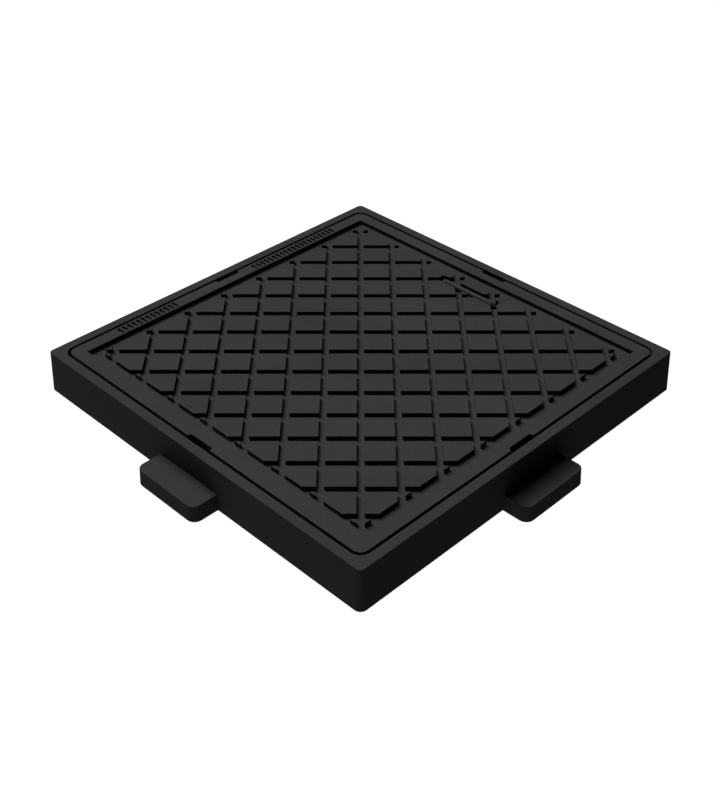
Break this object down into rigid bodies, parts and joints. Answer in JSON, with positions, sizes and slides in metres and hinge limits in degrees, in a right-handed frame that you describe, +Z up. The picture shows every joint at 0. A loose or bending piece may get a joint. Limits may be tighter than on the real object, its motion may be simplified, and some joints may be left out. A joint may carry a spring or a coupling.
{
  "type": "manhole cover",
  "caption": "Square composite access cover in its lugged frame, with a sunk field of diamond pads, pry notches and a flush pull-up lifting handle.",
  "frame": {"origin": "centre of the frame's underside, on the surface that the frame is bedded on", "axes": "+Z up; -Y is the front side; the lifting handle is near the +Y side; the rim marks are along the -X side"},
  "size_m": [0.684, 0.684, 0.061],
  "materials": {
    "frame_composite": "fine moulded grain, matte black",
    "lid_composite": "fine moulded grain, matte black",
    "gasket_rubber": "smooth black rubber",
    "handle_steel": "satin black coating",
    "bush_nylon": "satin black nylon",
    "fastener_steel": "bright zinc"
  },
  "bodies": {
    "frame": {"frame": "frame_composite", "seat_gasket": "gasket_rubber"},
    "lid": {"lid": "lid_composite", "handle_bush_left": "bush_nylon", "handle_bush_right": "bush_nylon"},
    "handle": {"lift_handle": "handle_steel", "handle_washer_left": "fastener_steel", "handle_washer_right": "fastener_steel", "handle_nut_left": "fastener_steel", "handle_nut_right": "fastener_steel"}
  },
  "joints": [
    {"name": "lid_lift", "type": "slide", "parent": "frame", "child": "lid", "axis": [0, 0, 1], "range_m": [0, 0.08]},
    {"name": "handle_lift", "type": "slide", "parent": "lid", "child": "handle", "axis": [0, 0, 1], "range_m": [0, 0.028]}
  ]
}
